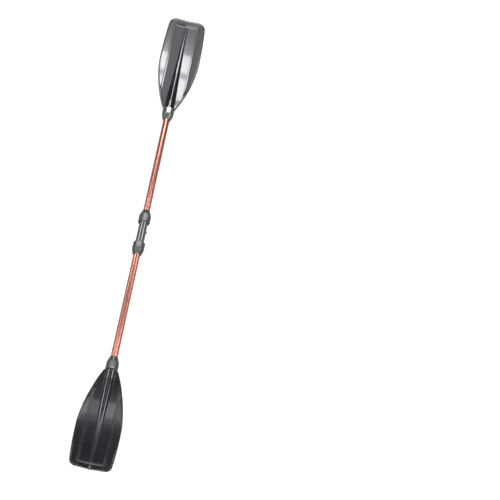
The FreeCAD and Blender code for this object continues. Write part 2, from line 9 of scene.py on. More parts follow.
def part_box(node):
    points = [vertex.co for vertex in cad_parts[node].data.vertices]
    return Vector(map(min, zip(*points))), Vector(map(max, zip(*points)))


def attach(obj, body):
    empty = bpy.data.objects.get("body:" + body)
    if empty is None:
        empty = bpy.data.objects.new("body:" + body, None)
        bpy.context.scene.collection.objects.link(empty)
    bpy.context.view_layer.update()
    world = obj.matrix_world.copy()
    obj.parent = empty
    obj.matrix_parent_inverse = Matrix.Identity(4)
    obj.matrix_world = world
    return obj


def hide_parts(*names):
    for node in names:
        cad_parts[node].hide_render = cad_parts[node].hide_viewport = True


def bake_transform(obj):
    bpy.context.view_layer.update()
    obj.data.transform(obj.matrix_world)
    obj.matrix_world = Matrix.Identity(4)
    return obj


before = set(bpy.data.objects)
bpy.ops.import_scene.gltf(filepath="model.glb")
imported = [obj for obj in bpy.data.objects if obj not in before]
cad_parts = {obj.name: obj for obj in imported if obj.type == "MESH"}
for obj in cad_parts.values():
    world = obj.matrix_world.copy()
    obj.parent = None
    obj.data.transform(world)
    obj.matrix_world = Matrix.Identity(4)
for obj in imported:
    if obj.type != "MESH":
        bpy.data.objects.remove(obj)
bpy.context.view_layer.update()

# A four-piece kayak paddle. Meshes are worked out in millimetres, with x along
# the paddle, in each piece's own frame, and are placed in metres.
MM = 0.001
WELD = 1e-7         # vertices nearer than this, in metres, become one
SCENE = bpy.context.scene


# ------------------------------------------------------------ sizes from the frame

def span(node, axis):
    """Lowest and highest coordinate of a CAD node along an axis, in millimetres."""
    low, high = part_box(node)
    return low[axis] / MM, high[axis] / MM


TUBE_LOW, TUBE_HIGH = span("right_shaft", 2)
AXIS_Z = (TUBE_LOW + TUBE_HIGH) / 2
SHAFT_R = (TUBE_HIGH - TUBE_LOW) / 2
SLEEVE_END = span("centre_sleeve", 0)[1]
CENTRE_FACE = span("right_centre_nut", 0)[0]
NUT_LENGTH = span("right_centre_nut", 0)[1] - CENTRE_FACE
BLADE_FACE = span("right_blade_nut", 0)[1]
BLADE_LENGTH = span("right_blade", 0)[1] - BLADE_FACE
BUTTON_X = sum(span("snap_button", 0)) / 2
BUTTON_FOOT, BUTTON_TOP = span("snap_button", 1)

TUBE_WALL, BORE_FIT, PART_GAP = 1.2, 0.25, 0.3
SHAFT_INNER_R = SHAFT_R - TUBE_WALL
BORE_R = SHAFT_R + BORE_FIT
NECK_WALL, SLEEVE_WALL, MOUTH_RISE, MOUTH_DEPTH = 3.75, 3.25, 2.65, 14.0
NECK_LENGTH = SLEEVE_END - CENTRE_FACE
NECK_R = BORE_R + NECK_WALL
SLEEVE_R = BORE_R + SLEEVE_WALL
MOUTH_R = BORE_R + MOUTH_RISE

THREAD_PITCH, THREAD_HEIGHT, THREAD_ROW = 4.0, 1.4, 0.5
THREAD_START, THREAD_TURNS, THREAD_BASE, THREAD_CREST = 8.0, 4.5, 1.2, 0.5
GROOVE_START, GROOVE_TURNS, GROOVE_BASE, GROOVE_CREST = -4.0, 8.5, 1.38, 0.85

KEY_DEGREES, NOTCH_DEGREES = 22.0, 24.0
OUTER_NOTCH, INNER_NOTCH = 10.3, 10.0
FEATHER_DEGREES = 60.0
BUTTON_R, BUTTON_PLAY = 4.0, 0.2


# ------------------------------------------------------------ mesh tools

def quads(index):
    """Quads between the neighbouring entries of a grid of vertex numbers."""
    corners = (index[:-1, :-1], index[1:, :-1], index[1:, 1:], index[:-1, 1:])
    return np.stack(corners, axis=-1).reshape(-1, 4).tolist()


def step(value, start, end):
    """Smooth step from 0 at start to 1 at end."""
    share = np.clip((value - start) / (end - start), 0, 1)
    return share * share * (3 - 2 * share)


def soft_max(a, b, reach):
    """Larger of two values, rounded off where they are within reach of each other."""
    blend = np.clip(reach - np.abs(a - b), 0, None) / reach
    return np.maximum(a, b) + blend * blend * reach / 4


def soft_min(a, b, reach):
    """Smaller of two values, rounded off in the same way."""
    return -soft_max(-a, -b, reach)


def build_mesh(name, points, faces):
    """Closed mesh of millimetre points, welded, with its faces outwards."""
    mesh = bpy.data.meshes.new(name)
    mesh.from_pydata((np.asarray(points) * MM).tolist(), [], faces)
    work = bmesh.new()
    work.from_mesh(mesh)
    bmesh.ops.remove_doubles(work, verts=work.verts, dist=WELD)
    bmesh.ops.recalc_face_normals(work, faces=work.faces)
    work.to_mesh(mesh)
    work.free()
    return mesh


def add_piece(name, mesh, node, body, finish, sharp=32):
    """Object that stands for a CAD node and rides on its body."""
    mesh.shade_smooth()
    mesh.set_sharp_from_angle(angle=math.radians(sharp))
    piece = bpy.data.objects.new(name, mesh)
    SCENE.collection.objects.link(piece)
    mesh.materials.append(finish)
    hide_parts(node)
    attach(piece, body)
    return piece


def stand(points, station=0.0, turned=False):
    """Moves points onto the paddle's axis, turned about Z if they face -X."""
    way = -1 if turned else 1
    return np.asarray(points) * (way, way, 1) + (station, 0, AXIS_Z)


def ring(rows, angles):
    """Skin swept round X: rows are (x, radius) once round the wall's section."""
    points = []
    for x, radius in rows:
        radii = np.broadcast_to(radius, angles.shape)
        places = (np.full(angles.shape, x), radii * np.cos(angles), radii * np.sin(angles))
        points.append(np.stack(places, axis=-1))
    index = np.arange(len(rows) * len(angles)).reshape(len(rows), len(angles))
    return np.concatenate(points), quads(np.pad(index, ((0, 1), (0, 1)), mode="wrap"))


def even_angles(count):
    """Angles of a whole turn, the first at zero."""
    return np.linspace(0, 2 * math.pi, count, endpoint=False)


def sector(x_low, x_high, r_low, r_high, middle, width, count=25):
    """Block between two radii and two angles, as a cutting shape."""
    angles = np.radians(middle + width * np.linspace(-0.5, 0.5, count))
    corners = ((x_low, r_low), (x_high, r_low), (x_high, r_high), (x_low, r_high))
    points = [(x, r * math.cos(a), r * math.sin(a)) for a in angles for x, r in corners]
    index = np.arange(len(points)).reshape(len(angles), 4)
    faces = quads(np.pad(index, ((0, 0), (0, 1)), mode="wrap"))
    return points, faces + [index[0].tolist(), index[-1][::-1].tolist()]


def rod(x, radius, low, high, count=48):
    """Round bar along Y, as a cutting shape."""
    angles = even_angles(count)
    points = [(x + radius * math.cos(a), y, radius * math.sin(a))
              for y in (low, high) for a in angles]
    index = np.arange(2 * count).reshape(2, count)
    faces = quads(np.pad(index, ((0, 0), (0, 1)), mode="wrap"))
    return points, faces + [index[0].tolist(), index[1][::-1].tolist()]


def cut(mesh, cutters):
    """Takes closed cutting shapes out of a mesh."""
    body = bpy.data.objects.new("cut_body", mesh)
    SCENE.collection.objects.link(body)
    for points, faces in cutters:
        tool = bpy.data.objects.new("cutter", build_mesh("cutter", points, faces))
        SCENE.collection.objects.link(tool)
        work = body.modifiers.new("cut", "BOOLEAN")
        work.operation = "DIFFERENCE"
        work.solver = "EXACT"
        work.object = tool
        bpy.context.view_layer.update()
        result = bpy.data.meshes.new_from_object(
            body.evaluated_get(bpy.context.evaluated_depsgraph_get()))
        body.modifiers.clear()
        body.data = result
        bpy.data.objects.remove(tool)
    bpy.data.objects.remove(body)
    return result


# ------------------------------------------------------------ materials

# How far a pattern is stretched along x, y and z: a small number draws it out.
EVEN, ALONG, BRUSHED = (1, 1, 1), (0.06, 1, 1), (0.02, 1, 1)


def noise(tree, coordinates, stretch, scale, detail=4.0):
    """Noise in the piece's own space, stretched along its axes."""
    mapping = tree.nodes.new("ShaderNodeMapping")
    mapping.inputs["Scale"].default_value = stretch
    texture = tree.nodes.new("ShaderNodeTexNoise")
    texture.inputs["Scale"].default_value = scale
    texture.inputs["Detail"].default_value = detail
    tree.links.new(coordinates, mapping.inputs["Vector"])
    tree.links.new(mapping.outputs["Vector"], texture.inputs["Vector"])
    return texture.outputs["Fac"]


def remap(tree, value, low, high, start=0.3, end=0.7):
    """Spreads a value's range start..end over low..high."""
    node = tree.nodes.new("ShaderNodeMapRange")
    for socket, number in zip(("From Min", "From Max", "To Min", "To Max"),
                              (start, end, low, high)):
        node.inputs[socket].default_value = number
    tree.links.new(value, node.inputs["Value"])
    return node.outputs["Result"]


def mix_colours(tree, share, first, second):
    """Mixes two colours, each a tuple or the output of another mix."""
    node = tree.nodes.new("ShaderNodeMix")
    node.data_type = "RGBA"
    colour_inputs, colour_output = node.inputs[6:8], node.outputs[2]
    tree.links.new(share, node.inputs["Factor"])
    for socket, colour in zip(colour_inputs, (first, second)):
        if isinstance(colour, tuple):
            socket.default_value = (*colour, 1)
        else:
            tree.links.new(colour, socket)
    return colour_output


CLOUD_SCALE, CLOUD_DETAIL, PEBBLE_DETAIL = 35, 3, 2
WORN_SHARE, WORN_FROM, WORN_TO = 0.8, 0.52, 0.62


def make_finish(name, colour, darker, rough, grain, pebble, metallic=0.0, coat=0.0,
                coat_rough=0.12, worn=None):
    """Surface with a mottled colour, uneven gloss, a fine grain and worn edges.

    grain is (stretch, scale, height) of long marks, pebble is (scale, height), and
    both heights are in millimetres. Sharp edges take the worn colour, if there is one.
    """
    finish = bpy.data.materials.new(name)
    finish.use_nodes = True
    tree = finish.node_tree
    shader = tree.nodes["Principled BSDF"]
    shader.inputs["Metallic"].default_value = metallic
    shader.inputs["Coat Weight"].default_value = coat
    shader.inputs["Coat Roughness"].default_value = coat_rough
    space = tree.nodes.new("ShaderNodeTexCoord").outputs["Object"]
    stretch, scale, height = grain
    marks = noise(tree, space, stretch, scale)
    cloud = noise(tree, space, stretch, CLOUD_SCALE, CLOUD_DETAIL)
    pebbles = noise(tree, space, EVEN, pebble[0], PEBBLE_DETAIL)
    surface = mix_colours(tree, remap(tree, marks, 0, 1), darker, colour)
    if worn:
        edges = tree.nodes.new("ShaderNodeNewGeometry").outputs["Pointiness"]
        wear = remap(tree, edges, 0, WORN_SHARE, WORN_FROM, WORN_TO)
        surface = mix_colours(tree, wear, surface, worn)
    tree.links.new(surface, shader.inputs["Base Color"])
    gloss = tree.nodes.new("ShaderNodeMath")
    gloss.operation = "ADD"
    for place, pattern in enumerate((cloud, marks)):
        tree.links.new(remap(tree, pattern, rough[0] / 2, rough[1] / 2), gloss.inputs[place])
    tree.links.new(gloss.outputs[0], shader.inputs["Roughness"])
    normal = None
    for relief, depth in ((marks, height), (pebbles, pebble[1])):
        bump = tree.nodes.new("ShaderNodeBump")
        bump.inputs["Distance"].default_value = depth * MM
        tree.links.new(relief, bump.inputs["Height"])
        if normal:
            tree.links.new(normal, bump.inputs["Normal"])
        normal = bump.outputs["Normal"]
    tree.links.new(normal, shader.inputs["Normal"])
    return finish


BLADE_FINISH = make_finish(
    "blade_plastic", (0.008, 0.008, 0.010), (0.005, 0.005, 0.007), (0.12, 0.20),
    (ALONG, 260, 0.004), (1400, 0.002), coat=0.6, coat_rough=0.04, worn=(0.03, 0.03, 0.033))
SHAFT_FINISH = make_finish(
    "anodised_aluminium", (0.78, 0.32, 0.25), (0.76, 0.30, 0.235), (0.26, 0.275),
    (BRUSHED, 1800, 0.0006), (2600, 0.0004), metallic=1.0)
NUT_FINISH = make_finish(
    "nut_plastic", (0.044, 0.047, 0.044), (0.034, 0.036, 0.034), (0.14, 0.22),
    (EVEN, 300, 0.004), (1500, 0.003), coat=1.0, coat_rough=0.06, worn=(0.14, 0.145, 0.14))
SLEEVE_FINISH = make_finish(
    "sleeve_plastic", (0.042, 0.044, 0.042), (0.034, 0.036, 0.034), (0.14, 0.20),
    (ALONG, 400, 0.003), (1500, 0.002), coat=1.0, coat_rough=0.06)
COLLAR_FINISH = make_finish(
    "collar_plastic", (0.10, 0.10, 0.10), (0.07, 0.07, 0.07), (0.35, 0.5),
    (EVEN, 300, 0.02), (1500, 0.01))
NYLON_FINISH = make_finish(
    "collet_nylon", (0.62, 0.60, 0.54), (0.52, 0.50, 0.44), (0.35, 0.55),
    (EVEN, 220, 0.02), (1300, 0.02))
FOAM_FINISH = make_finish(
    "plug_foam", (0.055, 0.055, 0.058), (0.025, 0.025, 0.027), (0.75, 0.95),
    (EVEN, 600, 0.25), (1800, 0.12))
BUTTON_FINISH = make_finish(
    "button_steel", (0.025, 0.025, 0.027), (0.015, 0.015, 0.017), (0.25, 0.4),
    (EVEN, 500, 0.01), (2000, 0.006), metallic=0.6)
SPRING_FINISH = make_finish(
    "spring_steel", (0.52, 0.53, 0.55), (0.40, 0.41, 0.43), (0.18, 0.34),
    (ALONG, 900, 0.006), (2200, 0.004), metallic=1.0)


# ------------------------------------------------------------ nuts

# Angles are in degrees from a corner, and depths are from the nut's inner face.
OCTANT = 45.0
OCTANT_STEPS = (0, 1.5, 2.7, 3.5, 4.3, 6, 11, 17, 22.5)
SOFT_EDGE = ((0, 0.6), (0.18, 0.18), (0.6, 0))      # depth, and drop below the full radius
GRIP_END, NOSE_RISE = 31.0, 2.9
NUT_RINGS = ((1.5, 4, 4), (5, 29, 7), (30, 33, 4), (37, NUT_LENGTH - 1, 6))     # from, to, count
CONE_START, CONE_END, CONE_END_RISE = 38.0, 50.35, 1.25
NUT_BORE_R, NUT_FLARE = NECK_R + 0.35, 1.8


def nut_angles():
    """Columns gathered at the eight corner grooves."""
    octant = np.array(OCTANT_STEPS + tuple(OCTANT - a for a in OCTANT_STEPS[-2:0:-1]))
    corners = OCTANT / 2 + OCTANT * np.arange(8)
    return np.radians(np.concatenate([corner + octant for corner in corners]))


def nut_outside(u, angles):
    """Outer radius of the nut at a depth u from its inner face.

    The nut lies on one of its flats, so the flats are as far out as the axis is high.
    """
    flat_r = AXIS_Z
    corner_r, face_r = flat_r + 1.5, flat_r - 2.5
    groove_at, groove_r = corner_r + 0.5, 1.6
    groove_side, edge_soft, groove_soft = 4, 0.5, 0.25
    fall = (corner_r - SHAFT_R - NOSE_RISE) / (NUT_LENGTH - GRIP_END)
    turned = soft_min(face_r + u, corner_r - fall * max(u - GRIP_END, 0), edge_soft)
    half_octant = math.radians(OCTANT / 2)
    to_flat = np.remainder(angles + half_octant, 2 * half_octant) - half_octant
    to_corner = half_octant - np.abs(to_flat)
    shell = soft_min(turned, flat_r / np.cos(to_flat), edge_soft)
    across = groove_at * np.sin(to_corner)
    depth = np.sqrt(np.clip(groove_r ** 2 - across ** 2, 0, None))
    groove = groove_at * np.cos(to_corner) - depth
    groove += groove_side * np.clip(across - groove_r, 0, None)
    return soft_min(shell, groove, groove_soft)


def thread(u, angles, first, turns, half_base, half_crest, fade=0.06):
    """Height share of a right-hand thread at a depth u and at each angle."""
    part_turn = (angles - math.pi / 2) / (2 * math.pi)
    whole = np.round((u - first) / THREAD_PITCH - part_turn)
    along = whole + part_turn
    offset = np.abs(u - first - THREAD_PITCH * along)
    height = np.clip((half_base - offset) / (half_base - half_crest), 0, 1)
    return height * np.clip(along / fade, 0, 1) * np.clip((turns - along) / fade, 0, 1)


def make_nut(name, station, turned):
    """Nut whose inner face is at a station; a turned one has its nose towards -X."""
    angles = nut_angles()
    outside = list(SOFT_EDGE)
    for first, last, count in NUT_RINGS:
        outside += [(u, 0) for u in np.linspace(first, last, count)]
    outside += [(NUT_LENGTH - u, drop) for u, drop in SOFT_EDGE[::-1]]
    rows = [(u, nut_outside(u, angles) - drop) for u, drop in outside]
    nose_bore, nose_soft, thread_end = SHAFT_R + 0.4, 0.4, 33.0
    rows += [(NUT_LENGTH, nose_bore + nose_soft), (NUT_LENGTH - nose_soft, nose_bore),
             (CONE_END, nose_bore), (CONE_END, SHAFT_R + CONE_END_RISE),
             (CONE_START, NUT_BORE_R)]
    for u in np.arange(thread_end, 0, -THREAD_ROW):
        flare = NUT_FLARE * np.clip(1 - u / NUT_FLARE, 0, 1)
        height = thread(u, angles, GROOVE_START, GROOVE_TURNS, GROOVE_BASE, GROOVE_CREST)
        rows.append((u, NUT_BORE_R + np.maximum(flare, THREAD_HEIGHT * height)))
    rows.append((0, NUT_BORE_R + NUT_FLARE))
    points, faces = ring(rows, angles)
    mesh = build_mesh(name, stand(points, station, turned), faces)
    add_piece(f"{name}_shell", mesh, name, name, NUT_FINISH)


# ------------------------------------------------------------ necks, sleeve, shafts

SLEEVE_SIDES, TUBE_SIDES, BUTTON_SIDES = 160, 144, 64       # columns round each skin


def neck_rows(angles, face=0.0):
    """Outer skin of a threaded neck from its face to the tip of its mouth."""
    rows = [(face, NECK_R)]
    margin, chamfer = THREAD_PITCH / 2, 0.5
    thread_end = THREAD_START + THREAD_TURNS * THREAD_PITCH
    for u in np.arange(THREAD_START - margin, thread_end + margin + THREAD_ROW, THREAD_ROW):
        height = thread(u, angles, THREAD_START, THREAD_TURNS, THREAD_BASE, THREAD_CREST)
        rows.append((u, NECK_R + THREAD_HEIGHT * height))
    rows += [(NECK_LENGTH - chamfer, NECK_R), (NECK_LENGTH, NECK_R - chamfer),
             (NECK_LENGTH, MOUTH_R), (NECK_LENGTH - MOUTH_DEPTH, BORE_R)]
    return rows


def reverse_angles(angles):
    """The same columns seen by a neck that is turned about Z."""
    return math.pi - angles


def make_sleeve():
    """Sleeve with a neck at each end and a stepped slot for the button."""
    angles = even_angles(SLEEVE_SIDES)
    shoulder_run, shoulder_rise = 0.4, 0.2
    shoulder = [(CENTRE_FACE - shoulder_run, SLEEVE_R), (CENTRE_FACE, SLEEVE_R + shoulder_rise)]
    right = [(CENTRE_FACE + u, radius) for u, radius in neck_rows(angles)]
    left = [(-CENTRE_FACE - u, radius) for u, radius in neck_rows(reverse_angles(angles))]
    middle_end, ring_count = CENTRE_FACE - 4, 15
    middle = [(x, SLEEVE_R) for x in np.linspace(-middle_end, middle_end, ring_count)]
    left_shoulder = [(-x, radius) for x, radius in shoulder[::-1]]
    rows = right + left[::-1] + left_shoulder + middle + shoulder
    points, faces = ring(rows, angles)
    mesh = build_mesh("sleeve", stand(points), faces)
    half = BUTTON_R + PART_GAP
    slot_degrees = FEATHER_DEGREES + 2 * math.degrees(math.asin(half / BORE_R))
    step_width, step_depth = 0.5, 0.35
    inside_bore, above_skin = BORE_R - 2, SLEEVE_R + 3
    cutters = []
    for grow, low in ((0.0, inside_bore), (step_width, SLEEVE_R - step_depth)):
        degrees = slot_degrees + 2 * math.degrees(grow / SLEEVE_R)
        points, faces = sector(BUTTON_X - half - grow, BUTTON_X + half + grow,
                               low, above_skin, -FEATHER_DEGREES / 2, degrees)
        cutters.append((stand(points), faces))
    mesh = cut(mesh, cutters)
    add_piece("sleeve_shell", mesh, "centre_sleeve", "sleeve", SLEEVE_FINISH)


def tube(x_low, x_high, angles):
    """Plain tube with softened ends, and with rings along it for even shading."""
    soft, margin, ring_count = 0.3, 14, 12
    outside = [(x_low, SHAFT_R - soft), (x_low + soft, SHAFT_R)]
    outside += [(x, SHAFT_R) for x in np.linspace(x_low + margin, x_high - margin, ring_count)]
    outside += [(x_high - soft, SHAFT_R), (x_high, SHAFT_R - soft)]
    inside = [(x_high, SHAFT_INNER_R), (x_low, SHAFT_INNER_R)]
    return ring(outside + inside, angles)


def notch(x_low, x_high):
    """Cutting shape for a key's notch through the top of a tube."""
    beyond = 2.0
    return sector(x_low, x_high, SHAFT_INNER_R - beyond, SHAFT_R + beyond, 90, NOTCH_DEGREES)


def make_shaft(side):
    """Tube with a notch for its blade's key, and a second notch or the button's hole."""
    node = f"{side}_shaft"
    low, high = span(node, 0)
    beyond = 2.0
    if side == "right":
        cutters = [notch(high - OUTER_NOTCH, high + beyond),
                   notch(low - beyond, low + INNER_NOTCH)]
    else:
        cutters = [notch(low - beyond, low + OUTER_NOTCH),
                   rod(BUTTON_X, BUTTON_R + BUTTON_PLAY, SHAFT_R / 2, SHAFT_R + beyond)]
    points, faces = tube(low, high, even_angles(TUBE_SIDES))
    mesh = build_mesh(node, stand(points), faces)
    mesh = cut(mesh, [(stand(shape), sides) for shape, sides in cutters])
    add_piece(f"{side}_tube", mesh, node, node, SHAFT_FINISH)


def make_button():
    """Pin with a rounded top on a wider rim, turned about Y."""
    rim_r, rim_top, soft, corner = 5.25, BUTTON_FOOT + 2.0, 0.3, 0.15
    dome, dome_steps = 1.6, 8
    profile = [(0, BUTTON_FOOT), (rim_r - soft, BUTTON_FOOT), (rim_r, BUTTON_FOOT + soft),
               (rim_r, rim_top - soft), (rim_r - soft, rim_top),
               (BUTTON_R + corner, rim_top), (BUTTON_R, rim_top + corner)]
    for a in np.linspace(0, math.pi / 2, dome_steps):
        profile.append((BUTTON_R - dome + dome * math.cos(a),
                        BUTTON_TOP - dome + dome * math.sin(a)))
    profile.append((0, BUTTON_TOP))
    angles = even_angles(BUTTON_SIDES)
    points = [(BUTTON_X + r * math.cos(a), y, r * math.sin(a))
              for r, y in profile for a in angles]
    index = np.arange(len(points)).reshape(len(profile), len(angles))
    faces = quads(np.pad(index, ((0, 0), (0, 1)), mode="wrap"))
    mesh = build_mesh("button", stand(points), faces)
    add_piece("button_pin", mesh, "snap_button", "snap_button", BUTTON_FINISH)


# ------------------------------------------------------------ blades

# Plan of a blade: a place is (distance from the nut's face, y), and each run of the
# outline is an arc given by its start, its end and its bulge.
OUTLINE = (((1, 28), (239.8, 87.0), 10.2), ((239.8, 87.0), (400.1, 82.6), 1.6),
           ((400.1, 82.6), (419.8, 80.7), 0.0), ((419.8, 80.7), (447.4, 53.3), 7.6))
TIP_CORNER, TIP_BULGE = (447.4, 53.3), 1.6
ARC_STEPS = 40

# Rise and section of a blade.
ROOT, STRAIGHT, TIP_RISE = 1.0, 40.0, 65.0
BEND_R = ((BLADE_LENGTH - STRAIGHT) ** 2 + TIP_RISE ** 2) / (2 * TIP_RISE)
PLATE_HALF, RIM_HALF, RIM_WIDTH, RIM_SOFT = 1.3, 2.3, 7.0, 0.3
CREASE_Y, CREASE_Z, CREASE_SOFT, EDGE_Y, EDGE_Z = 51.0, 6.0, 1.0, 92.3, 1.7
RIB_HALF, RIB_HEIGHT, RIB_INSIDE, RIB_OUTSIDE = 4.5, 2.5, 0.45, 0.35
RIB_FADE_START, RIB_FADE_END = 4.0, 13.0
CROSS_RIB, CROSS_CROWN = 418.5, 0.35

# Spine of a blade: distance from the nut's face, half width and half height.
SPINE = ((1, 21.0, 18.5), (40, 21.0, 18.5), (191, 14.6, 9.3), (324, 9.0, 5.9), (418.5, 5.0, 4.0),
         (424, 3.0, 2.0))
NO_SPINE, SPINE_FILLET = -3.0, 1.6


def arc(start, end, bulge):
    """Points of the arc from start to end that bulges to the left of its chord."""
    start, end = np.array(start), np.array(end)
    share = np.linspace(0, 1, ARC_STEPS + 1)[:, None]
    if not bulge:
        return start + (end - start) * share
    chord = np.linalg.norm(end - start)
    radius = chord ** 2 / (8 * bulge) + bulge / 2
    ahead = (end - start) / chord
    left = np.array((-ahead[1], ahead[0]))
    centre = (start + end) / 2 - left * (radius - bulge)
    turn = math.asin(chord / 2 / radius) * (2 * share - 1)
    return centre + radius * (ahead * np.sin(turn) + left * np.cos(turn))


def half_outline():
    """Outline of the blade's +Y half from its root to the middle of its tip."""
    runs = [arc(*run) for run in OUTLINE]
    tip = arc(TIP_CORNER, (TIP_CORNER[0], -TIP_CORNER[1]), TIP_BULGE)
    runs.append(tip[:ARC_STEPS // 2 + 1])
    return np.concatenate([run[:-1] for run in runs] + [runs[-1][-1:]])


# The side ends and the tip starts in the middle of the corner's arc, the last run.
HALF_OUTLINE = half_outline()
CORNER_INDEX = (len(OUTLINE) - 1) * ARC_STEPS + ARC_STEPS // 2
SIDE, TIP = HALF_OUTLINE[:CORNER_INDEX + 1], HALF_OUTLINE[CORNER_INDEX:]
CORNER_P, CORNER_Y = HALF_OUTLINE[CORNER_INDEX]


def edge_distance(p, y):
    """Plan distance from points to the blade's sides and tip."""
    start, run = HALF_OUTLINE[:-1], np.diff(HALF_OUTLINE, axis=0)
    place = np.stack([p.ravel(), np.abs(y).ravel()], axis=-1)[:, None, :] - start
    share = np.clip((place * run).sum(-1) / (run * run).sum(-1), 0, 1)
    gap = np.linalg.norm(place - share[..., None] * run, axis=-1)
    return gap.min(axis=1).reshape(p.shape)


def middle_height(y):
    """Shallow M of the blade's middle surface."""
    y = np.abs(y)
    inner = CREASE_Z * y / CREASE_Y
    outer = CREASE_Z + (EDGE_Z - CREASE_Z) * (y - CREASE_Y) / (EDGE_Y - CREASE_Y)
    return soft_min(inner, outer, CREASE_SOFT)


def half_thickness(gap):
    """Plate with a thicker rounded bead along the outline."""
    crest = RIM_WIDTH / 2
    share = np.clip((gap - crest) / crest, -1, 1)
    bead = RIM_HALF * np.sqrt(1 - share ** 2)
    return np.where(gap < crest, bead, soft_max(bead, PLATE_HALF, RIM_SOFT))


def inside(value, edge):
    """1 below a rib's edge and 0 above it, over the slope of its side."""
    return 1 - step(value, edge - RIB_INSIDE, edge + RIB_OUTSIDE)


def bar(offset, crown=0.0):
    """Section of a rib: 1 in the middle of its top, 0 beside it."""
    top = 1 - crown * (offset / RIB_HALF) ** 2
    return top * inside(np.abs(offset), RIB_HALF)


def rib_height(p, y, gap):
    """Two side ribs up to the far edge of the cross rib between them."""
    y = np.abs(y)
    side = bar(y - CREASE_Y) * inside(p, CROSS_RIB + RIB_HALF)
    cross = bar(p - CROSS_RIB, CROSS_CROWN) * inside(y, CREASE_Y + RIB_HALF)
    return RIB_HEIGHT * np.maximum(side, cross) * step(gap, RIB_FADE_START, RIB_FADE_END)


def spine_height(p, y):
    """Half height of the elliptic spine, below zero where there is none."""
    stations, widths, heights = np.array(SPINE).T
    wide, high = np.interp(p, stations, widths), np.interp(p, stations, heights)
    share = 1 - (y / wide) ** 2
    return np.where(share > 0, high * np.sqrt(np.clip(share, 0, None)), NO_SPINE)


def bend(p, y, height):
    """Blade frame: straight at the root, then on an arc that rises to the tip."""
    reach = np.clip(p - STRAIGHT, 0, None)
    z = BEND_R - np.sqrt((BEND_R - height) ** 2 - reach ** 2)
    return np.stack([p, y, z], axis=-1)


# Where the blade's grid has its rows and columns, closest where its surface turns.
ROOT_ROWS = (1, 1.5, 2.5, 5, 9, 14, 20, 26, 32, 36, 40)
ROW_STEP, LAST_EVEN_ROW = 5.0, 410.0
NEAR_EDGE_OFFSETS, FAR_EDGE_OFFSETS = (-1.5, -0.5, -0.15, 0.2, 0.6, 2), (-2, -0.6, -0.2, 0.15, 0.5)
TIP_INSETS = (13.5, 11.5, 9.8, 8.6, 7.9, 7.4, 7.0, 6.6, 6.1, 5.2, 4.2, 3.2, 2.3, 1.7, 1.2, 0.8,
              0.45, 0.2, 0.05, 0)
RIM_INSETS = (8.4, 7.8, 7.4, 7.0, 6.6, 6.1, 4.9, 3.6, 2.7, 2.1, 1.5, 1.0, 0.6, 0.3, 0.12, 0.02, 0)
RIB_OFFSETS = (-5.6, -5.0, -4.75, -4.45, -4.15, -3.8, -2, 0, 2, 3.8, 4.15, 4.45, 4.75, 5.0, 5.6)
SPINE_DEGREES = (4, 8, 10.9, 11.3, 16, 23, 30, 38, 46, 54, 62, 70, 78, 84, 88, 90)
SPINE_MARGINS, PANEL_SHARES = (0.6, 1.8), (0.2, 0.4, 0.6, 0.8)


def blade_rows():
    """Row stations along the blade's side, with the tip's rows at its corner."""
    rows = list(ROOT_ROWS) + list(np.arange(STRAIGHT + ROW_STEP, LAST_EVEN_ROW + 1, ROW_STEP))
    rows += [CROSS_RIB - RIB_HALF + offset for offset in NEAR_EDGE_OFFSETS]
    rows += [CROSS_RIB]
    rows += [CROSS_RIB + RIB_HALF + offset for offset in FAR_EDGE_OFFSETS]
    return np.array(rows + [CORNER_P - inset for inset in TIP_INSETS])


def blade_columns(stations):
    """Plan y of every column of the +Y half, from the middle line out to the side.

    Where the blade is narrow, the inner columns are squeezed together inside the rim.
    """
    side_y = np.interp(stations, SIDE[:, 0], SIDE[:, 1])
    slope = np.gradient(side_y, stations)
    slant = np.sqrt(1 + slope ** 2)
    table = np.array(SPINE).T
    wide = np.interp(stations, table[0], table[1])
    columns = [wide * math.sin(math.radians(a)) for a in SPINE_DEGREES]
    columns += [wide + margin for margin in SPINE_MARGINS]
    panel_start, panel_end = columns[-1], CREASE_Y + RIB_OFFSETS[0]
    columns += [panel_start + (panel_end - panel_start) * share for share in PANEL_SHARES]
    columns += [np.full(wide.shape, CREASE_Y + offset) for offset in RIB_OFFSETS]
    outer_start = CREASE_Y + RIB_OFFSETS[-1]
    rim_margin, least_run = 0.4, 0.5
    outer_end = side_y - (RIM_INSETS[0] + rim_margin) * slant
    outer_run = np.clip(outer_end - outer_start, least_run, None)
    columns += [outer_start + outer_run * share for share in PANEL_SHARES]
    squeeze = 0.12
    limits = [side_y - (RIM_INSETS[0] + squeeze * (len(columns) - i)) * slant
              for i in range(len(columns))]
    inner = [np.minimum(column, limit) for column, limit in zip(columns, limits)]
    rim = [side_y - inset * slant for inset in RIM_INSETS]
    return np.stack([np.zeros(wide.shape)] + inner + rim, axis=1)


def blade_plan():
    """Plan places of the whole grid, its rows bent along the tip."""
    stations = blade_rows()
    half = blade_columns(stations)
    y = np.concatenate([-half[:, :0:-1], half], axis=1)
    side_y = half[:, -1:]
    tip_y = np.abs(y) / side_y * CORNER_Y
    tip_p = np.interp(tip_y, TIP[::-1, 1], TIP[::-1, 0])
    follow_start, follow_end = CROSS_RIB + RIB_HALF + 1, CORNER_P - 9
    follow = step(stations, follow_start, follow_end)[:, None]
    p = stations[:, None] + follow * (tip_p - CORNER_P)
    return p, y


def spread_angles(angles, least=math.radians(0.3)):
    """Rising angles of a quadrant, none nearer than least to the last."""
    steps = np.maximum(np.diff(angles), least)
    places = np.concatenate([[0], np.cumsum(steps)])
    return places / places[-1] * math.pi / 2


def root_angles(columns):
    """Angles round the socket of the blade's root loop, from +Y over the top."""
    quadrant = spread_angles(columns)
    half = np.concatenate([quadrant, math.pi - quadrant[-2::-1]])
    return np.concatenate([half[:-1], math.pi + half[:-1]])


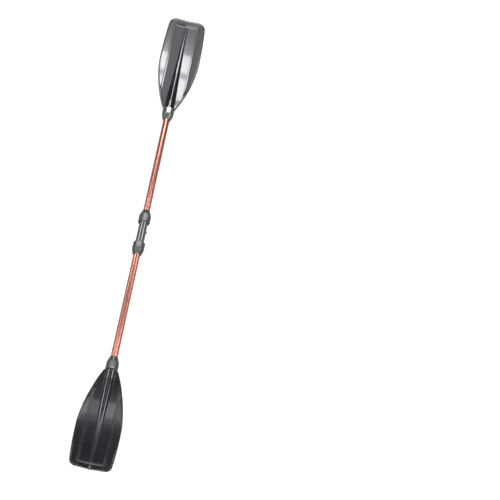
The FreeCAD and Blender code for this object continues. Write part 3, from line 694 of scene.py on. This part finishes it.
def socket_rows(angles):
    """Skin from the root face round the neck and the bore to the cavity's end.

    The key is a little narrow, so that its sloping sides stay clear of the tube's notch.
    """
    rows = [(-u, radius) for u, radius in neck_rows(reverse_angles(angles), face=-ROOT)]
    key_top, key_margin = SHAFT_INNER_R - PART_GAP, 2
    to_key = np.abs(np.degrees(angles) - 90)
    bore = np.where(to_key < KEY_DEGREES / 2 - key_margin, key_top, BORE_R)
    depth, key_start, key_slope = 32.3, 22.0, 0.1
    cavity_r, cavity_tip, cavity_run = 11.5, 4.5, 108.0
    rows += [(key_start - key_slope, BORE_R), (key_start, bore), (depth, bore),
             (depth, cavity_r), (depth + cavity_run, cavity_tip)]
    return rows


def make_blade(side, turned):
    """Upper and lower skins that meet along the outline, closed at the root by the socket."""
    node = f"{side}_blade"
    p, y = blade_plan()
    gap = edge_distance(p, y)
    gap[:, (0, -1)] = 0
    gap[-1] = 0
    middle, thick = middle_height(y), half_thickness(gap)
    spine = spine_height(p, y)
    top = soft_max(middle + thick + rib_height(p, y, gap), spine, SPINE_FILLET)
    bottom = soft_min(middle - thick, -spine, SPINE_FILLET)
    edge = gap == 0
    top[edge] = bottom[edge] = middle[edge]
    upper, lower = bend(p, y, top), bend(p, y, bottom)
    upper_index = np.arange(p.size).reshape(p.shape)
    lower_index = upper_index + p.size
    lower_index[edge] = upper_index[edge]
    faces = quads(upper_index) + quads(lower_index[:, ::-1])

    quarter = upper[0, p.shape[1] // 2:][::-1]
    seen = np.arctan2(quarter[:, 2], quarter[:, 1])
    angles = root_angles(seen - seen[0])
    socket = socket_rows(angles)
    skin, _ = ring(socket, angles)
    points = np.concatenate([upper.reshape(-1, 3), lower.reshape(-1, 3), skin])
    root_loop = np.concatenate([upper_index[0, ::-1], lower_index[0, 1:-1]])
    index = np.arange(len(skin)).reshape(len(socket), len(angles)) + 2 * p.size
    index = np.concatenate([root_loop[None, :], index])
    faces += quads(np.pad(index, ((0, 0), (0, 1)), mode="wrap"))
    faces.append(index[-1].tolist())

    station = -BLADE_FACE if turned else BLADE_FACE
    mesh = build_mesh(node, stand(points, station, turned), faces)
    add_piece(f"{side}_blade_shell", mesh, node, node, BLADE_FINISH, sharp=40)


# ------------------------------------------------------------ leaf spring

def make_spring():
    """Copy of the CAD spring, left in its place, with the spring steel finish.
    """
    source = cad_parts["button_spring"]
    mesh = source.data.copy()
    mesh.transform(source.matrix_world)
    mesh.materials.clear()
    mesh.materials.append(SPRING_FINISH)
    leaf = bpy.data.objects.new("leaf_spring", mesh)
    SCENE.collection.objects.link(leaf)
    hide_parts("button_spring")
    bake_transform(leaf)


# ------------------------------------------------------------ carried-over pieces

def dress(node, finish):
    """Gives a CAD node that keeps its shape its material."""
    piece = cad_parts[node]
    piece.data.materials.clear()
    piece.data.materials.append(finish)


# ------------------------------------------------------------ stage, light, camera

PALE, MUTED = 0.95, 0.25            # floor as the camera sees it, and for all other rays
DIM, WHITE = 0.09, 1.0              # surroundings for other rays, and as the camera sees them
KEY_ENERGY, KEY_SPREAD, KEY_TILT = 5.1, 48, 35


def make_floor():
    """Wide plain floor, pale to the camera and muted in light and reflections."""
    reach = 30.0
    mesh = bpy.data.meshes.new("floor")
    mesh.from_pydata([(-reach, -reach, 0), (reach, -reach, 0), (reach, reach, 0),
                      (-reach, reach, 0)], [], [(0, 1, 2, 3)])
    floor = bpy.data.objects.new("floor", mesh)
    SCENE.collection.objects.link(floor)
    paint = bpy.data.materials.new("floor_paint")
    paint.use_nodes = True
    tree = paint.node_tree
    tree.nodes.remove(tree.nodes["Principled BSDF"])
    mix = tree.nodes.new("ShaderNodeMixShader")
    seen = tree.nodes.new("ShaderNodeLightPath").outputs["Is Camera Ray"]
    tree.links.new(seen, mix.inputs[0])
    for place, grey in ((1, MUTED), (2, PALE)):
        diffuse = tree.nodes.new("ShaderNodeBsdfDiffuse")
        diffuse.inputs["Color"].default_value = (grey, grey, grey, 1)
        tree.links.new(diffuse.outputs[0], mix.inputs[place])
    tree.links.new(mix.outputs[0], tree.nodes["Material Output"].inputs["Surface"])
    mesh.materials.append(paint)


# Level softboxes: x from, x to, y from, y to, radiance. They hang about a metre up,
# each a little lower than the one before it, so that none hides another.
SOFTBOXES = {
    "far_panel": (-1.48, -1.10, -0.45, 0.45, 1.6),
    "far_patch": (-1.297, -1.240, -0.34, -0.15, 16.0),
    "root_patch": (-1.43, -1.320, -0.34, -0.15, 15.0),
    "far_spine": (-1.66, -1.24, -0.05, 0.05, 20.0),
    "far_shaft": (-1.25, -0.85, -0.56, -0.36, 1.8),
    "sleeve_left": (-0.93, -0.69, -1.10, -0.70, 15.0),
    "sleeve_right": (-0.84, -0.60, 0.48, 0.85, 11.0),
    "centre_top": (-0.75, -0.47, -0.10, 0.10, 1.0),
    "left_nut_top_a": (-0.720, -0.672, 0.005, 0.030, 9.0),
    "left_nut_top_b": (-0.720, -0.672, -0.030, -0.005, 9.0),
    "right_nut_top_a": (-0.560, -0.512, 0.005, 0.030, 9.0),
    "right_nut_top_b": (-0.560, -0.512, -0.030, -0.005, 9.0),
    "near_left": (-1.3, -0.25, -2.3, -1.6, 2.6),
    "near_right": (-1.1, -0.25, 1.15, 1.7, 2.7),
    "near_ribs": (-0.50, 0.10, -0.07, 0.07, 0.4),
    "near_root": (0.10, 0.36, -0.07, 0.07, 2.2),
    "near_nut_left": (-0.085, 0.16, -1.15, -0.70, 8.0),
    "near_nut_right": (-0.085, 0.16, 0.60, 1.00, 8.0),
    "band_left": (0.02, 0.095, -0.45, -0.10, 2.5),
    "band_right": (0.02, 0.095, 0.10, 0.45, 1.5),
    "band_fade": (-0.015, 0.095, -0.45, 0.45, 0.8),
    "cross_rib": (0.40, 1.00, -0.35, 0.35, 3.0),
}
SOFTBOX_HEIGHT, SOFTBOX_STEP = 1.01, 0.001


def add_softbox(name, x_low, x_high, y_low, y_high, radiance, height):
    """Area light of a given radiance that shines down, out of the camera's sight."""
    light = bpy.data.lights.new(name, "AREA")
    light.shape = "RECTANGLE"
    light.size, light.size_y = x_high - x_low, y_high - y_low
    light.energy = radiance * math.pi * light.size * light.size_y
    lamp = bpy.data.objects.new(name, light)
    lamp.location = ((x_low + x_high) / 2, (y_low + y_high) / 2, height)
    lamp.visible_camera = False
    SCENE.collection.objects.link(lamp)


def make_lights():
    """Dim surroundings that the camera sees as white, a wide key light and softboxes."""
    world = bpy.data.worlds.new("studio")
    SCENE.world = world
    world.use_nodes = True
    tree = world.node_tree
    background = tree.nodes["Background"]
    background.inputs["Color"].default_value = (1, 1, 1, 1)
    seen = tree.nodes.new("ShaderNodeLightPath").outputs["Is Camera Ray"]
    glow = remap(tree, seen, DIM, WHITE, start=0, end=1)
    tree.links.new(glow, background.inputs["Strength"])
    key = bpy.data.lights.new("key", "SUN")
    key.energy, key.angle = KEY_ENERGY, math.radians(KEY_SPREAD)
    lamp = bpy.data.objects.new("key", key)
    lamp.rotation_euler = (0, math.radians(KEY_TILT), 0)
    SCENE.collection.objects.link(lamp)
    for order, (name, box) in enumerate(SOFTBOXES.items()):
        add_softbox(name, *box, SOFTBOX_HEIGHT - order * SOFTBOX_STEP)


def turn_pair(first, second, degrees):
    """Two directions at right angles, turned in the plane that holds both."""
    along, across = math.cos(math.radians(degrees)), math.sin(math.radians(degrees))
    return first * along + second * across, second * along - first * across


def make_camera():
    """Camera beyond the near blade, turned until the paddle lies as in the photo."""
    elevation, distance = math.radians(57.5), 6.44
    roll, yaw, pitch = 12.47, 3.92, -0.61
    focus = Vector((0, 0, AXIS_Z * MM))
    back = Vector((math.cos(elevation), 0, math.sin(elevation)))
    place = focus + back * distance
    right = Vector((0, 1, 0))
    up = back.cross(right)
    right, up = turn_pair(right, up, roll)
    right, back = turn_pair(right, back, yaw)
    up, back = turn_pair(up, back, pitch)
    data = bpy.data.cameras.new("camera")
    data.lens, data.sensor_width = 114.0, 36.0
    camera = bpy.data.objects.new("camera", data)
    camera.matrix_world = Matrix.Translation(place) @ Matrix(
        (right, up, back)).transposed().to_4x4()
    SCENE.collection.objects.link(camera)
    SCENE.camera = camera
    SCENE.view_settings.view_transform = "Standard"


# ------------------------------------------------------------ assembly

make_camera()
make_floor()
make_lights()
make_sleeve()
for shaft_side in ("left", "right"):
    make_shaft(shaft_side)
make_button()
make_spring()
make_nut("left_centre_nut", -CENTRE_FACE, True)
make_nut("right_centre_nut", CENTRE_FACE, False)
make_nut("left_blade_nut", -BLADE_FACE, False)
make_nut("right_blade_nut", BLADE_FACE, True)
make_blade("left", True)
make_blade("right", False)
dress("stop_collar", COLLAR_FINISH)
for clamp in ("left_centre", "right_centre", "left_blade", "right_blade"):
    dress(f"{clamp}_collet", NYLON_FINISH)
for tube_end in ("left_inner", "left_outer", "right_inner", "right_outer"):
    dress(f"{tube_end}_plug", FOAM_FINISH)

bpy.context.view_layer.update()
